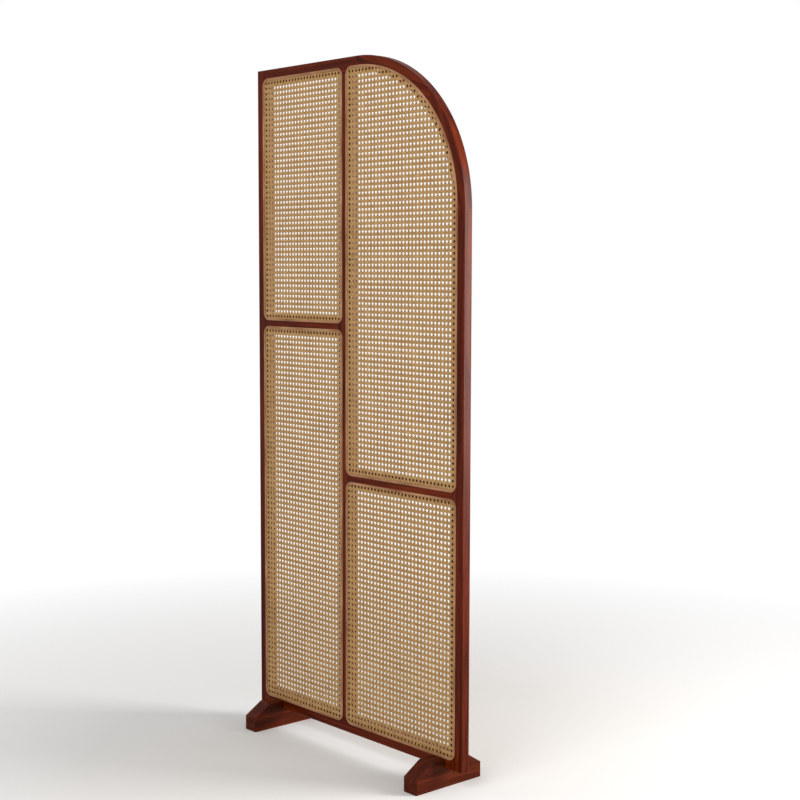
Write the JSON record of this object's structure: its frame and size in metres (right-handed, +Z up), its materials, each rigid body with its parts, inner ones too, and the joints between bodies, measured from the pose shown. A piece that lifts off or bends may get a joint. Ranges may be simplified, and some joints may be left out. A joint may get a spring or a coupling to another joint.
{
  "type": "cane screen panel",
  "caption": "Free-standing wooden screen panel with a quarter-arched corner, framed cells of woven cane webbing and slotted cross feet.",
  "frame": {"origin": "on the floor under the middle of the panel, between the two cross feet", "axes": "+Z up; X along the panel, with the arched corner at +X; the webbed front looks along -Y"},
  "size_m": [0.814, 0.218, 1.8],
  "materials": {
    "frame_wood": "dark red-brown stain, semi-gloss",
    "foot_wood": "red-brown stain, semi-gloss",
    "cane": "natural rattan cane, satin",
    "binder": "natural cane binder, satin",
    "tenon_wood": "plain beech",
    "bolt_steel": "zinc-plated",
    "insert_brass": "turned"
  },
  "bodies": {
    "root": {"left_stile": "frame_wood", "right_stile": "frame_wood", "bottom_rail": "frame_wood", "top_rail": "frame_wood", "arch_lower": "frame_wood", "arch_upper": "frame_wood", "centre_stile": "frame_wood", "left_cross_rail": "frame_wood", "right_cross_rail": "frame_wood", "cane_lower_left": "cane", "cane_upper_left": "cane", "cane_lower_right": "cane", "cane_upper_right": "cane", "binder_lower_left": "binder", "binder_upper_left": "binder", "binder_lower_right": "binder", "binder_upper_right": "binder", "left_foot": "foot_wood", "right_foot": "foot_wood", "arch_tenons": "tenon_wood", "foot_bolts": "bolt_steel", "bolt_washers": "bolt_steel", "thread_inserts": "insert_brass"}
  },
  "joints": []
}
